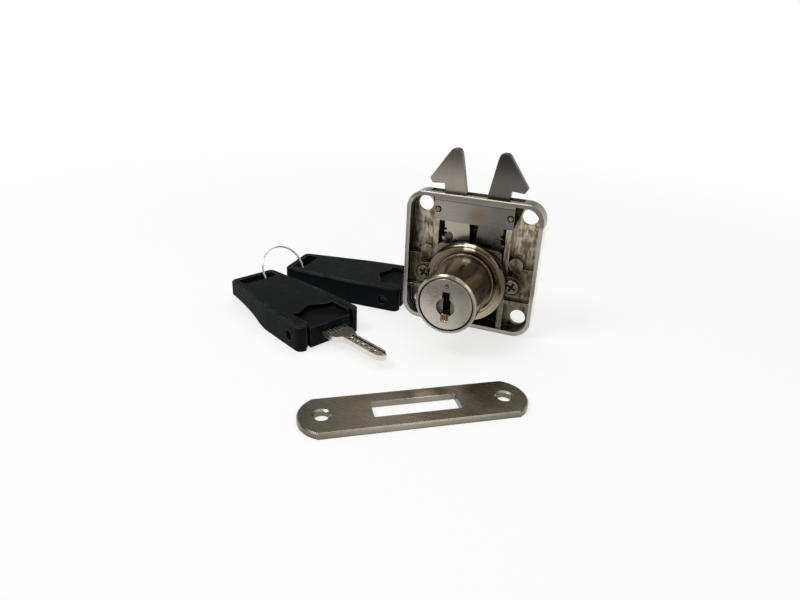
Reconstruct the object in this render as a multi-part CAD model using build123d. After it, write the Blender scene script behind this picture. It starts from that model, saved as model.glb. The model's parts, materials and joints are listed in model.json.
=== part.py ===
from build123d import *
from math import cos, radians, sin
import os

# Millimetres. X runs to the right of the lock, Y from its key side to its back, Z up. The
# origin is on the table, under the middle of the lock case. The face of the case's rim is
# at rimY, and every depth on the lock is measured from that plane: positive into the case,
# negative towards the key.
rimY = -2.4

# Raised pieces start this far inside the metal they grow from, and cutting shapes stand
# this far out of what they cut.
rooted = 0.2
past = 1.0

# Case
caseSide = 40.0
caseCorner = 5.3
caseDepth = 6.9
caseBackRound = 1.6
rimWidth = 1.2
bayFloor = 4.2
channelFloor = 5.5
channelHalf = 9.9
channelTop = 38.1
ribThickness = 1.5
ribFront = 0.6
mouthHalf = 13.6
mouthStart = 28.0
shelfInner = 8.9
shelfLow = 32.2
shelfBack = 2.1
padFront = 2.3
padLow = 10.4
padHigh = 20.4
ledgeFront = 0.9
ledgeHeight = 0.8
upperBossX = 13.4
upperBossZ = 21.4
upperBossRadius = 2.1
upperBossFront = 1.8
ejectorX = 15.0
ejectorZ = 29.4
ejectorRadius = 0.6
ejectorHeight = 0.3
holeSpacing = 31.0
holeRadius = 2.3
holeSinkDepth = 1.8

# Bridge plate over the channel
bridgeHalf = 11.6
bridgeLow = 32.0
bridgeFront = 0.6
bridgeBack = 1.4
bridgeCornerRound = 0.6
rivetX = 10.6
rivetZ = 35.1
rivetRadius = 0.7
rivetSinkRadius = 1.1
rivetEndRound = 0.2
rivetDimple = (0.28, 0.2)

# Cylinder housing
barrelZ = 15.8
barrelRadius = 8.5
barrelFront = -21.3
barrelChamfer = 0.45
footFront = -3.9
footRadius = 8.7
baseRadius = 10.3
baseHalf = 9.5
baseTop = 25.7
baseCornerRound = 1.2
baseFront = -1.0
baseBack = 0.6
earX = 13.3
earRadius = 3.0
earSinkRadius = 2.4
earSinkBack = -0.45
screwHeadRadius = 2.1
screwHeadFront = -1.4
screwHeadRound = 0.3
screwShankRadius = 1.1
screwShankBack = 3.6
screwHoleClearance = 0.15
crossLength = 2.9
crossWidth = 0.75
crossDepth = 0.65
crossTurn = 28.0

# Loose trim ring, which hangs on the barrel and rests on the heads of the ear screws
trimOuter = 12.1
trimInner = 9.3
trimFront = -3.4
trimBack = -1.45
trimRound = 1.6
trimLipRadius = 9.95
trimLipFront = -2.9
trimHang = 0.02

# Plug, wafers and crank
plugFront = -21.2
plugHeadRadius = 7.35
plugHeadGap = 0.3
plugHeadBack = -18.3
plugHeadChamfer = 0.2
plugRadius = 7.0
plugClearance = 0.05
keywayWidth = 2.15
keywayTop = 3.6
keywayBottom = -5.2
keywayBack = -2.2
faceRecessRadius = 2.6
faceRecessDepth = 1.3
faceRecessDrop = 0.8
markRadius = 0.65
markHeight = 5.25
waferCount = 5
waferFirst = -16.7
waferPitch = 2.7
waferThickness = 0.9
waferWidth = 5.0
waferHeight = 12.4
waferCornerRound = 0.4
waferClearance = 0.05
waferWindow = (2.4, 5.6)
waferCodeStep = 0.35
waferLedgeHeight = 0.9
waferLedgeDrop = 1.6
springX = 4.05
springRadius = 0.6
springLow = -1.1
springLength = 3.2
springPocket = (-2.2, 2.4)
springPocketOuter = 4.95
tailRadius = 2.6
tailFlat = 1.9
tailBack = 1.4
crankFront = 0.65
crankBack = 1.35
crankHubRadius = 4.0
crankRadius = 7.0
crankPinRadius = 0.9
crankPinBack = 5.3
crankArmRadius = 1.7
crankScrewRadius = 1.2
crankScrewFront = -2.6
crankScrewHoleFront = -3.0
crankScrewHeadRadius = 3.0
crankScrewHeadBack = 2.1
crankScrewHeadRound = 0.3
crankScrewSlot = (0.5, 0.6)

# Bolt work. Half a turn of the plug drops the carrier by twice the crank's radius, and both
# hooks swing upright over the same half turn. They are drawn run out and spread, as locked.
postX = 7.3
postZ = 27.0
postRadius = 1.25
postTailRadius = 0.9
postFront = 1.85
postFrontRound = 0.25
postClearance = 0.05
hookFront = 2.2
hookBack = 4.3
hookEyeRadius = 2.1
hookEdgeBreak = 0.15
hookBrokenAbove = 34.0
carrierFront = 4.4
carrierBack = 5.4
carrierHalf = 9.75
carrierLow = 17.6
carrierHigh = 29.6
carrierCornerRound = 1.2
# The carrier falls at a steady rate, which leaves the crank pin's own height by at most
# 0.21 of the crank's radius either way, so the cross slot is taller than the pin by that.
slotHalfHeight = crankPinRadius + 0.21 * crankRadius + 0.1
slotHalfLength = crankRadius + crankPinRadius + 0.2

# Folding keys, in a frame of their own: X from the ring end to the blade end of the head,
# which is at 0, Y across, and Z up from the table.
headLength = 41.15
headRingHalf = 7.75
headMiddleHalf = 10.25
headBladeHalf = 10.85
headHeight = 7.7
headRingUnderside = 3.2
headMiddle = -17.5
headCornerRound = 1.8
headKneeRound = 30.0
headTopChamfer = 0.35
borderInset = 0.85
borderWidth = 0.4
borderDepth = 0.4
slotNear = -35.15
slotFar = -39.25
slotHalf = 6.2
slotCornerRound = 1.0
pinX = -5.3
pinZ = 3.4
pinRadius = 1.5
pinHalf = 9.5
pinChamfer = 0.2
pinClearance = 0.05
armInner = 7.1
armStep = 8.3
armStepDepth = 1.2
seatSideRadius = 5.25
seatShoulderRadius = 5.5
seatMiddleRadius = 6.4
seatClearance = 0.25
blockHalf = 6.85
blockTop = 6.4
blockBottom = 0.35
bladeLow = 2.8
bladeTop = 4.3
bladeMiddle = 1.2
bladeWidth = 3.6
bladeTip = 21.3
bladeRoot = -2.4
bladeShoulderLeft = 4.6
bladeShoulderRight = -3.0
grooveStart = 7.0
grooveOffset = 0.85
grooveWidth = 0.7
grooveDepth = 0.4
dimpleOffset = -0.75
dimpleFirst = 8.6
dimplePitch = 2.35
dimplePointRadius = 0.15
dimpleDepths = (0.55, 0.35, 0.5, 0.3, 0.45)

# Where the loose pieces lie on the table: x, y and turn in degrees
nearKeyPlace = (-31.5, -28.9, -24.1)
farKeyPlace = (-22.3, 8.2, 3.2)
strikePlace = (2.48, -50.57, 35.1)

# Key ring
ringCentre = (-62.6, -3.3, 7.45)
ringTurn = 69.4
ringTilt = 30.0
ringRadius = 7.8
ringWire = 0.5

# Strike plate
strikeLength = 55.7
strikeWidth = 13.8
strikeThickness = 1.6
strikeChamfer = 0.3
strikeSlotLength = 21.0
strikeSlotWidth = 6.0
strikeSlotRound = 0.4
strikeHoleSpacing = 44.4
strikeEndRadius = 7.8
strikeHoleRadius = 1.8
strikeSinkRadius = 2.3
strikeSinkDepth = 0.35


def upright(outline, front, back):
    """A plate parallel to the rim: an XZ outline, from one depth to another."""
    return Pos(0, rimY + back, 0) * extrude(Plane.XZ * outline, back - front)


def disc(x, z, radius, front, back):
    """A round along Y at x and z, from one depth to another."""
    return upright(Pos(x, z) * Circle(radius), front, back)


def slab(left, right, front, back, low, high):
    """A box on the lock: X from left to right, its depths, and Z from low to high."""
    outline = Pos((left + right) / 2, (low + high) / 2) * Rectangle(right - left, high - low)
    return upright(outline, front, back)


def block(low, high):
    """A box between two corners."""
    size = [b - a for a, b in zip(low, high)]
    middle = [(a + b) / 2 for a, b in zip(low, high)]
    return Pos(*middle) * Box(*size)


def mirrored(shape):
    """The same shape on the other side of the lock."""
    return mirror(shape, about=Plane.YZ)


def both(shapes):
    """Each shape and its mirror image."""
    return shapes + [mirrored(shape) for shape in shapes]


def placed(shape, place):
    """A key's or the strike's piece, turned and moved to where it lies on the table."""
    x, y, turn = place
    return Pos(x, y, 0) * Rot(0, 0, turn) * shape


def caseShell():
    """Open-fronted box with a rounded back edge."""
    outline = Pos(0, caseSide / 2) * RectangleRounded(caseSide, caseSide, caseCorner)
    shell = upright(outline, 0, caseDepth)
    back = shell.faces().sort_by(Axis.Y)[-1]
    shell = fillet(back.edges(), caseBackRound)
    inner = caseSide - 2 * rimWidth
    bay = Pos(0, caseSide / 2) * RectangleRounded(inner, inner, caseCorner - rimWidth)
    return shell - upright(bay, -past, bayFloor)


def bayPieces():
    """What stands up in the right bay: rib, pad, ledge, bosses and an ejector mark."""
    floor = bayFloor + rooted
    wall = caseSide / 2 - rimWidth + rooted
    ribOuter = channelHalf + ribThickness
    beside = ribOuter - rooted
    return [
        slab(channelHalf, ribOuter, ribFront, floor, rimWidth - rooted, caseSide - rimWidth + rooted),
        slab(beside, wall, padFront, floor, padLow, padHigh),
        slab(beside, wall, ledgeFront, floor, padLow - ledgeHeight, padLow + rooted),
        disc(earX, barrelZ, earRadius, baseBack, floor),
        disc(upperBossX, upperBossZ, upperBossRadius, upperBossFront, floor),
        disc(ejectorX, ejectorZ, ejectorRadius, bayFloor - ejectorHeight, floor),
    ]


def cornerPlaces():
    """X and Z of the four corner holes."""
    half = holeSpacing / 2
    return [(x, caseSide / 2 + z) for x in (-half, half) for z in (-half, half)]


def holeSink(x, z):
    """Countersink of a corner hole in the back of the case."""
    depth = holeSinkDepth + past
    cone = Cone(holeRadius, holeRadius + depth, depth)
    return Pos(x, rimY + caseDepth + past - depth / 2, z) * Rot(-90, 0, 0) * cone


def mouthOutline():
    """The flared way out through the case's top, seen from the front."""
    right = [
        (channelHalf, mouthStart),
        (mouthHalf, channelTop),
        (mouthHalf, caseSide + past),
    ]
    left = [(-x, z) for x, z in reversed(right)]
    return make_face(Polyline(*right, *left, close=True))


def makeCase():
    """Die-cast case with its ribs, pads, bosses and screw holes."""
    low = rimWidth
    top = caseSide - rimWidth + rooted
    case = caseShell() + both(bayPieces())
    case = case + slab(-bridgeHalf, bridgeHalf, 0, bayFloor + rooted, channelTop, top)
    case = case - slab(-channelHalf, channelHalf, -past, channelFloor, low, channelTop)
    shelf = slab(shelfInner, channelHalf + rooted, bridgeBack, bayFloor, shelfLow, channelTop + rooted)
    case = case + both([shelf])
    case = case - upright(mouthOutline(), shelfBack, channelFloor)
    case = case - slab(-channelHalf, channelHalf, shelfBack, channelFloor, low, channelTop)
    case = case - slab(-bridgeHalf, bridgeHalf, -past, bridgeBack, bridgeLow, channelTop)
    for x, z in cornerPlaces():
        case = case - disc(x, z, holeRadius, -past, caseDepth + past) - holeSink(x, z)
    for x in (-earX, earX):
        case = case - disc(x, barrelZ, screwShankRadius, -past, screwShankBack + past)
    for x in (-rivetX, rivetX):
        case = case - disc(x, rivetZ, rivetRadius, -past, shelfBack + past)
    return case


def makeBridge():
    """Thin plate that keeps the hooks in the channel."""
    plate = slab(-bridgeHalf, bridgeHalf, bridgeFront, bridgeBack, bridgeLow, channelTop)
    lowCorners = plate.edges().filter_by(Axis.Y).group_by(Axis.Z)[0]
    plate = fillet(lowCorners, bridgeCornerRound)
    sinkDepth = rivetSinkRadius - rivetRadius
    for x in (-rivetX, rivetX):
        sink = Cone(rivetRadius, rivetSinkRadius, sinkDepth)
        plate = plate - disc(x, rivetZ, rivetRadius, bridgeFront - past, bridgeBack + past)
        plate = plate - Pos(x, rimY + bridgeFront + sinkDepth / 2, rivetZ) * Rot(90, 0, 0) * sink
    return plate


def makeBridgeRivet(side):
    """Rivet peened level with the plate, with a dimple in its end."""
    x = side * rivetX
    rivet = disc(x, rivetZ, rivetRadius, bridgeFront, shelfBack)
    rivet = fillet(rivet.faces().sort_by(Axis.Y)[0].edges(), rivetEndRound)
    radius, depth = rivetDimple
    dimple = Cone(0, radius, depth)
    return rivet - Pos(x, rimY + bridgeFront + depth / 2, rivetZ) * Rot(90, 0, 0) * dimple


def makeHousing():
    """Barrel, base plate and the two ears, in one casting."""
    top = slab(-baseHalf, baseHalf, baseFront, baseBack, barrelZ, baseTop)
    top = fillet(top.edges().filter_by(Axis.Y).group_by(Axis.Z)[-1], baseCornerRound)
    base = disc(0, barrelZ, baseRadius, baseFront, baseBack)
    base = base - slab(-baseRadius, baseRadius, baseFront, baseBack, baseTop, baseTop + past) + top
    base = base + slab(-earX, earX, baseFront, baseBack, barrelZ - earRadius, barrelZ + earRadius)
    earHoleRadius = screwShankRadius + screwHoleClearance
    for x in (-earX, earX):
        base = base + disc(x, barrelZ, earRadius, baseFront, baseBack)
        base = base - disc(x, barrelZ, earSinkRadius, baseFront - past, earSinkBack)
        base = base - disc(x, barrelZ, earHoleRadius, baseFront - past, baseBack + past)
    barrel = disc(0, barrelZ, barrelRadius, barrelFront, footFront)
    barrel = chamfer(barrel.faces().sort_by(Axis.Y)[0].edges(), barrelChamfer)
    foot = disc(0, barrelZ, footRadius, footFront, baseFront)
    housing = barrel + foot + base
    headRoom = disc(0, barrelZ, plugHeadRadius + plugHeadGap, barrelFront - past, plugHeadBack)
    bodyRoom = disc(0, barrelZ, plugRadius + plugClearance, barrelFront, baseBack + past)
    return housing - headRoom - bodyRoom


def makeTrimRing():
    """Round-edged ring with a sunk lip inside, hanging on the foot of the barrel."""
    z = barrelZ + footRadius + trimHang - trimInner
    ring = disc(0, z, trimOuter, trimFront, trimBack)
    ring = fillet(ring.faces().sort_by(Axis.Y)[0].edges(), trimRound)
    ring = ring - disc(0, z, trimLipRadius, trimFront - past, trimLipFront)
    return ring - disc(0, z, trimInner, trimFront - past, trimBack + past)


def makeEarScrew(side):
    """Pan-headed screw with a cross recess."""
    x = side * earX
    head = disc(x, barrelZ, screwHeadRadius, screwHeadFront, earSinkBack)
    head = fillet(head.faces().sort_by(Axis.Y)[0].edges(), screwHeadRound)
    shank = disc(x, barrelZ, screwShankRadius, earSinkBack, screwShankBack)
    cross = Box(crossLength, crossDepth, crossWidth) + Box(crossWidth, crossDepth, crossLength)
    recess = Pos(x, rimY + screwHeadFront + crossDepth / 2, barrelZ) * Rot(0, crossTurn, 0) * cross
    return head + shank - recess


def waferDepths(index, clearance=0.0):
    """Front and back depth of a wafer, or of its chamber."""
    middle = waferFirst + index * waferPitch
    half = waferThickness / 2 + clearance
    return middle - half, middle + half


def tailShape(front, back):
    """The plug's round tail with its two flats."""
    tail = disc(0, barrelZ, tailRadius, front, back)
    flats = slab(-tailFlat, tailFlat, front, back, barrelZ - tailRadius, barrelZ + tailRadius)
    return tail & flats


def makePlug():
    """Plug with its stepped head, keyway, wafer chambers and flatted tail."""
    plug = disc(0, barrelZ, plugHeadRadius, plugFront, plugHeadBack - plugClearance)
    plug = chamfer(plug.faces().sort_by(Axis.Y)[0].edges(), plugHeadChamfer)
    plug = plug + disc(0, barrelZ, plugRadius, plugFront + past, baseBack)
    plug = plug + tailShape(baseBack, tailBack)
    half = keywayWidth / 2
    low = barrelZ + keywayBottom
    plug = plug - slab(-half, half, plugFront - past, keywayBack, low, barrelZ + keywayTop)
    recessBack = plugFront + faceRecessDepth
    plug = plug - disc(0, barrelZ - faceRecessDrop, faceRecessRadius, plugFront - past, recessBack)
    plug = plug - Pos(0, rimY + plugFront, barrelZ + markHeight) * Sphere(markRadius)
    chamberHalf = waferWidth / 2 + waferClearance
    pocketLow, pocketHigh = springPocket
    for index in range(waferCount):
        front, back = waferDepths(index, waferClearance)
        reach = plugRadius + past
        plug = plug - slab(-chamberHalf, chamberHalf, front, back, barrelZ - reach, barrelZ + reach)
        front, back = waferDepths(index, springRadius - waferThickness / 2 + waferClearance)
        plug = plug - slab(
            0, springPocketOuter, front, back, barrelZ + pocketLow, barrelZ + pocketHigh
        )
    return plug - disc(0, barrelZ, crankScrewRadius, crankScrewHoleFront, tailBack + past)


def makeWafer(index):
    """Brass wafer with its key window and the ledge its spring pushes on."""
    front, back = waferDepths(index)
    half = waferWidth / 2
    wafer = slab(-half, half, front, back, barrelZ - waferHeight / 2, barrelZ + waferHeight / 2)
    wafer = fillet(wafer.edges().filter_by(Axis.Y), waferCornerRound)
    ledgeMiddle = barrelZ - waferLedgeDrop
    ledgeHalf = waferLedgeHeight / 2
    reach = springX + springRadius
    ledge = slab(0, reach, front, back, ledgeMiddle - ledgeHalf, ledgeMiddle + ledgeHalf)
    shift = waferCodeStep * (index % 3 - 2)
    window = Pos(0, barrelZ + shift) * Rectangle(*waferWindow)
    return wafer + ledge - upright(window, front - past, back + past)


def makeWaferSprings():
    """One small upright spring for each wafer, as plain rounds, hidden in the plug."""
    springs = []
    for index in range(waferCount):
        middle = rimY + sum(waferDepths(index)) / 2
        spring = Cylinder(springRadius, springLength, align=(Align.CENTER, Align.CENTER, Align.MIN))
        springs.append(Pos(springX, middle, barrelZ + springLow) * spring)
    return Compound(children=springs)


def makeCrank():
    """Crank on the plug's tail, with the eccentric pin at the top of its travel."""
    hub = Pos(0, barrelZ) * Circle(crankHubRadius)
    end = Pos(0, barrelZ + crankRadius) * Circle(crankArmRadius)
    crank = upright(make_hull((hub + end).edges()), crankFront, crankBack)
    crank = crank + disc(0, barrelZ + crankRadius, crankPinRadius, crankBack, crankPinBack)
    return crank - tailShape(crankFront - past, crankBack + past)


def makeCrankScrew():
    """Slotted screw in the plug's tail, whose head holds the crank."""
    head = disc(0, barrelZ, crankScrewHeadRadius, tailBack, crankScrewHeadBack)
    head = fillet(head.faces().sort_by(Axis.Y)[-1].edges(), crankScrewHeadRound)
    shank = disc(0, barrelZ, crankScrewRadius, crankScrewFront, tailBack)
    depth, width = crankScrewSlot
    slot = Pos(0, rimY + crankScrewHeadBack, barrelZ) * Box(3 * crankScrewHeadRadius, depth, width)
    return head + shank - slot


def makeCarrier():
    """Sliding plate with the cross slot for the crank's pin and holes for the two posts."""
    plate = slab(-carrierHalf, carrierHalf, carrierFront, carrierBack, carrierLow, carrierHigh)
    plate = fillet(plate.edges().filter_by(Axis.Y), carrierCornerRound)
    slot = RectangleRounded(2 * slotHalfLength, 2 * slotHalfHeight, crankPinRadius)
    slot = Pos(0, barrelZ + crankRadius) * slot
    plate = plate - upright(slot, carrierFront - past, carrierBack + past)
    for x in (-postX, postX):
        plate = plate - disc(x, postZ, postTailRadius, carrierFront - past, carrierBack + past)
    return plate


def makeHookPost(side):
    """Post riveted in the carrier, with a rounded front end."""
    x = side * postX
    post = disc(x, postZ, postRadius, postFront, carrierFront)
    post = fillet(post.faces().sort_by(Axis.Y)[0].edges(), postFrontRound)
    return post + disc(x, postZ, postTailRadius, carrierFront, carrierBack)


def hookOutline():
    """Right hook seen from the front: leaning stem, sloped barb and an eye open outwards."""
    edge = FilletPolyline(
        (0.95, 26.5),
        (1.1, 30.0),
        (5.1, 50.6),
        (5.7, 52.5),
        (8.0, 52.5),
        (14.2, 43.5),
        (13.3, 42.2),
        (9.6, 42.5),
        (8.75, 29.3),
        (7.3, 29.3),
        (5.2, 27.0),
        (5.2, 26.1),
        radius=(1.0, 1.5, 1.3, 1.6, 0.45, 0.4, 0.3, 0.3, 0.5, 0.2),
    )
    plate = make_face(edge + Line((5.2, 26.1), (0.95, 26.5)))
    eye = Pos(postX, postZ) * Circle(hookEyeRadius)
    neck = Pos(postX - 0.75, postZ + 1.3) * Rectangle(2.7, 2.6)
    hole = Pos(postX, postZ) * Circle(postRadius + postClearance)
    gap = Pos(postX + 1.9, postZ + 0.55) * Rot(0, 0, 8) * Rectangle(3.0, 1.7)
    return plate + eye + neck - hole - gap


def makeHook(side):
    """Hook plate, swung out as when locked, with its edges broken outside the case."""
    hook = upright(hookOutline(), hookFront, hookBack)
    front = hook.faces().sort_by(Axis.Y)[0]
    outside = [edge for edge in front.outer_wire().edges() if edge.center().Z > hookBrokenAbove]
    hook = chamfer(outside, hookEdgeBreak)
    return hook if side > 0 else mirrored(hook)


def headPlan():
    """Seen from above: a straight taper from the blade end to the ring end, with a slight knee."""
    left = [
        (-headLength, headRingHalf),
        (headMiddle, headMiddleHalf),
        (0.0, headBladeHalf),
    ]
    right = [(x, -y) for x, y in reversed(left)]
    face = make_face(Polyline(*left, *right, close=True))
    knees = [v for v in face.vertices() if abs(v.X - headMiddle) < past]
    face = fillet(knees, headKneeRound)
    ends = [v for v in face.vertices() if min(abs(v.X), abs(v.X + headLength)) < past]
    return fillet(ends, headCornerRound)


def headSideOutline():
    """Seen from the side: thin at the ring end, with a stepped underside."""
    start = (-headLength, headRingUnderside)
    end = (headMiddle, 0.0)
    line = Polyline(end, (0, 0), (0, headHeight), (-headLength, headHeight), start)
    underside = Spline(start, (-31.0, 2.7), (-24.0, 1.4), end, tangents=[(1, 0), (1, 0)])
    return make_face(line + underside)


def barrelAboutPin(inward, half):
    """Barrel-shaped round about the pin's axis, drawn in from the seat by a clearance."""
    side = seatSideRadius - inward
    shoulder = seatShoulderRadius - inward
    ends = Polyline((half, side), (half, 0), (-half, 0), (-half, side))
    bulge = Spline(
        (-half, side),
        (-0.45 * half, shoulder),
        (0, seatMiddleRadius - inward),
        (0.45 * half, shoulder),
        (half, side),
    )
    section = Plane(origin=(pinX, 0, pinZ), x_dir=(0, 1, 0), z_dir=(1, 0, 0))
    return revolve(section * make_face(ends + bulge), Axis((pinX, 0, pinZ), (0, 1, 0)), 360)


def roundOnPin(radius, half):
    """Cylinder on the pin's axis."""
    return Pos(pinX, 0, pinZ) * Rot(90, 0, 0) * Cylinder(radius, 2 * half)


def makeKeyHead():
    """Plastic head: two arms at the blade end and a slot for the ring."""
    sideView = extrude(Plane.XZ * headSideOutline(), 2 * headBladeHalf, both=True)
    head = extrude(headPlan(), headHeight) & sideView
    top = head.faces().sort_by(Axis.Z)[-1]
    head = chamfer(top.outer_wire().edges(), headTopChamfer)
    border = offset(headPlan(), -borderInset) - offset(headPlan(), -borderInset - borderWidth)
    head = head - Pos(0, 0, headHeight - borderDepth) * extrude(border, borderDepth + past)
    head = head - barrelAboutPin(0, armInner)
    head = head - block((pinX, -armInner, -past), (past, armInner, headHeight + past))
    head = head - block((-armStepDepth, -armStep, -past), (past, armStep, headHeight + past))
    slot = RectangleRounded(slotNear - slotFar, 2 * slotHalf, slotCornerRound)
    slot = extrude(slot, headHeight + 2 * past)
    head = head - Pos((slotNear + slotFar) / 2, 0, -past) * slot
    return head - roundOnPin(pinRadius, headBladeHalf + past)


def makeKeyPin():
    """Steel pin through both arms and the block."""
    pin = roundOnPin(pinRadius, pinHalf)
    ends = pin.faces().sort_by(Axis.Y)
    return chamfer(ends[0].edges() + ends[-1].edges(), pinChamfer)


def bladeBlank():
    """The blade without its cuts: a wide shoulder in the block, then the narrow bar."""
    right = bladeMiddle - bladeWidth / 2
    left = bladeMiddle + bladeWidth / 2
    start = (bladeRoot, bladeShoulderLeft)
    end = (4.4, bladeShoulderLeft)
    edge = FilletPolyline(
        start,
        (bladeRoot, bladeShoulderRight),
        (4.9, bladeShoulderRight),
        (6.4, right),
        (bladeTip - 1.6, right),
        (bladeTip, right + 1.1),
        (bladeTip, left - 1.0),
        (bladeTip - 1.9, left),
        (8.2, left),
        end,
        radius=(0.3, 1.4, 0.8, 0.8, 0.7, 0.7, 0.8, 1.2),
    )
    face = make_face(edge + Line(end, start))
    return Pos(0, 0, bladeLow) * extrude(face, bladeTop - bladeLow)


def makeKeyBlade():
    """Steel blade with a long groove and the dimples of its code on the upper face."""
    grooveY = bladeMiddle + grooveOffset
    grooveHalf = grooveWidth / 2
    blade = bladeBlank() - block(
        (grooveStart, grooveY - grooveHalf, bladeTop - grooveDepth),
        (bladeTip + past, grooveY + grooveHalf, bladeTop + past),
    )
    standing = (Align.CENTER, Align.CENTER, Align.MIN)
    for index, depth in enumerate(dimpleDepths):
        x = dimpleFirst + index * dimplePitch
        dimple = Cone(dimplePointRadius, dimplePointRadius + depth, depth, align=standing)
        blade = blade - Pos(x, bladeMiddle + dimpleOffset, bladeTop - depth) * dimple
    return blade


def makeKeyBlock():
    """Plastic block that turns between the arms and holds the blade's root."""
    level = block(
        (-headLength, -headBladeHalf, blockBottom),
        (past, headBladeHalf, blockTop),
    )
    nose = block((pinX, -blockHalf, blockBottom), (0, blockHalf, blockTop))
    body = (barrelAboutPin(seatClearance, blockHalf) & level) + nose
    return body - roundOnPin(pinRadius + pinClearance, headBladeHalf) - bladeBlank()


def makeKeyRing():
    """Closed loop of thin wire, leaning through both slots."""
    lean = Rot(0, 0, ringTurn) * Rot(90 - ringTilt, 0, 0)
    return Pos(*ringCentre) * lean * Torus(ringRadius, ringWire)


def makeStrike():
    """Flat plate with round ends, a slot for the hooks and two countersunk holes."""
    middle = strikeLength / 2 - strikeEndRadius
    end = Circle(strikeEndRadius)
    outline = make_hull((Pos(-middle, 0) * end + Pos(middle, 0) * end).edges())
    plate = extrude(outline & Rectangle(strikeLength, strikeWidth), strikeThickness)
    plate = chamfer(plate.faces().sort_by(Axis.Z)[-1].edges(), strikeChamfer)
    slot = RectangleRounded(strikeSlotLength, strikeSlotWidth, strikeSlotRound)
    plate = plate - Pos(0, 0, -past) * extrude(slot, strikeThickness + 2 * past)
    for x in (-strikeHoleSpacing / 2, strikeHoleSpacing / 2):
        hole = Cylinder(strikeHoleRadius, strikeThickness + 2 * past)
        sink = Cone(strikeHoleRadius, strikeSinkRadius, strikeSinkDepth)
        plate = plate - Pos(x, 0, strikeThickness / 2) * hole
        plate = plate - Pos(x, 0, strikeThickness - strikeSinkDepth / 2) * sink
    return plate


def makeParts():
    """Every node's name and shape."""
    parts = {
        "case": makeCase(),
        "bridge_plate": makeBridge(),
        "bridge_rivet_left": makeBridgeRivet(-1),
        "bridge_rivet_right": makeBridgeRivet(1),
        "cylinder_housing": makeHousing(),
        "trim_ring": makeTrimRing(),
        "ear_screw_left": makeEarScrew(-1),
        "ear_screw_right": makeEarScrew(1),
        "plug": makePlug(),
        "wafer_springs": makeWaferSprings(),
        "crank": makeCrank(),
        "crank_screw": makeCrankScrew(),
        "carrier": makeCarrier(),
        "hook_post_left": makeHookPost(-1),
        "hook_post_right": makeHookPost(1),
        "hook_left": makeHook(-1),
        "hook_right": makeHook(1),
        "key_ring": makeKeyRing(),
        "strike_plate": placed(makeStrike(), strikePlace),
    }
    for index in range(waferCount):
        parts[f"wafer_{index + 1}"] = makeWafer(index)
    keyPieces = {
        "head": makeKeyHead(),
        "pin": makeKeyPin(),
        "block": makeKeyBlock(),
        "blade": makeKeyBlade(),
    }
    for key, place in (("near_key", nearKeyPlace), ("far_key", farKeyPlace)):
        for name, shape in keyPieces.items():
            parts[f"{key}_{name}"] = placed(shape, place)
    return parts


os.makedirs("parts", exist_ok=True)
for name, shape in makeParts().items():
    export_step(shape, f"parts/{name}.step")
    print(name, round(shape.volume, 2))
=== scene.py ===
import bpy
import bmesh
import json
import math
from mathutils import Matrix, Vector


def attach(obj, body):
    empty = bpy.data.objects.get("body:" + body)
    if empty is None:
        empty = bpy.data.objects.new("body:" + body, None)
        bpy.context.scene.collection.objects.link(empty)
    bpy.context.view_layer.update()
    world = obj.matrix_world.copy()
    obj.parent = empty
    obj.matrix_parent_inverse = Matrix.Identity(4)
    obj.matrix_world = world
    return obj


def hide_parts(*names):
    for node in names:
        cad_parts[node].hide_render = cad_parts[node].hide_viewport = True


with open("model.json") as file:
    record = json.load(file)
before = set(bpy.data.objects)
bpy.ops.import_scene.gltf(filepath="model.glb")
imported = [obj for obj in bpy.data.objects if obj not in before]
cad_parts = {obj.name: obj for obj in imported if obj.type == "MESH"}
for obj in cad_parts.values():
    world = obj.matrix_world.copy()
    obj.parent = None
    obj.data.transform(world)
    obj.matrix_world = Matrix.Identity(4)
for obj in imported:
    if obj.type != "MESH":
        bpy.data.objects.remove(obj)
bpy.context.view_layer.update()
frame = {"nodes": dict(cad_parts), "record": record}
nodes = frame["nodes"]
mm = 0.001

# Camera, at the photograph's viewing angle
cameraSettings = {
    "place": Vector((39.20, -161.71, 81.23)) * mm,
    "right": Vector((0.92834845, 0.36953853, 0.04013003)),
    "up": Vector((-0.1862506, 0.3690121, 0.91057168)),
    "back": Vector((0.32168286, -0.85280205, 0.41139859)),
    "focalPixels": 593.0,
    "imageWidth": 800.0,
    "sensorWidth": 36.0,
    "clip": (5 * mm, 20.0),
}


def makeCamera(settings):
    data = bpy.data.cameras.new("camera")
    data.sensor_width = settings["sensorWidth"]
    data.lens = settings["focalPixels"] / settings["imageWidth"] * settings["sensorWidth"]
    data.clip_start, data.clip_end = settings["clip"]
    camera = bpy.data.objects.new("camera", data)
    bpy.context.scene.collection.objects.link(camera)
    turn = Matrix((settings["right"], settings["up"], settings["back"])).transposed()
    camera.matrix_world = Matrix.Translation(settings["place"]) @ turn.to_4x4()
    bpy.context.scene.camera = camera


makeCamera(cameraSettings)
print("camera made")

# Node helpers, used by every material


def addNode(tree, kind, values=None, **settings):
    node = tree.nodes.new(kind)
    for name, value in settings.items():
        setattr(node, name, value)
    for socket, value in (values or {}).items():
        if isinstance(value, bpy.types.NodeSocket):
            tree.links.new(value, node.inputs[socket])
        else:
            node.inputs[socket].default_value = value
    return node


def mixColour(tree, amount, first, second, mode="MIX"):
    # On a Mix node, socket 0 is the factor, 6 and 7 are the colours, and 2 is the colour out.
    node = addNode(tree, "ShaderNodeMix", data_type="RGBA", blend_type=mode)
    for index, value in ((0, amount), (6, first), (7, second)):
        if isinstance(value, bpy.types.NodeSocket):
            tree.links.new(value, node.inputs[index])
        elif index == 0:
            node.inputs[index].default_value = value
        else:
            node.inputs[index].default_value = (*value, 1.0)
    return node.outputs[2]


def calculate(tree, operation, first, second=0.0, clamp=False):
    values = {0: first, 1: second}
    node = addNode(tree, "ShaderNodeMath", values, operation=operation, use_clamp=clamp)
    return node.outputs[0]


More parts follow.
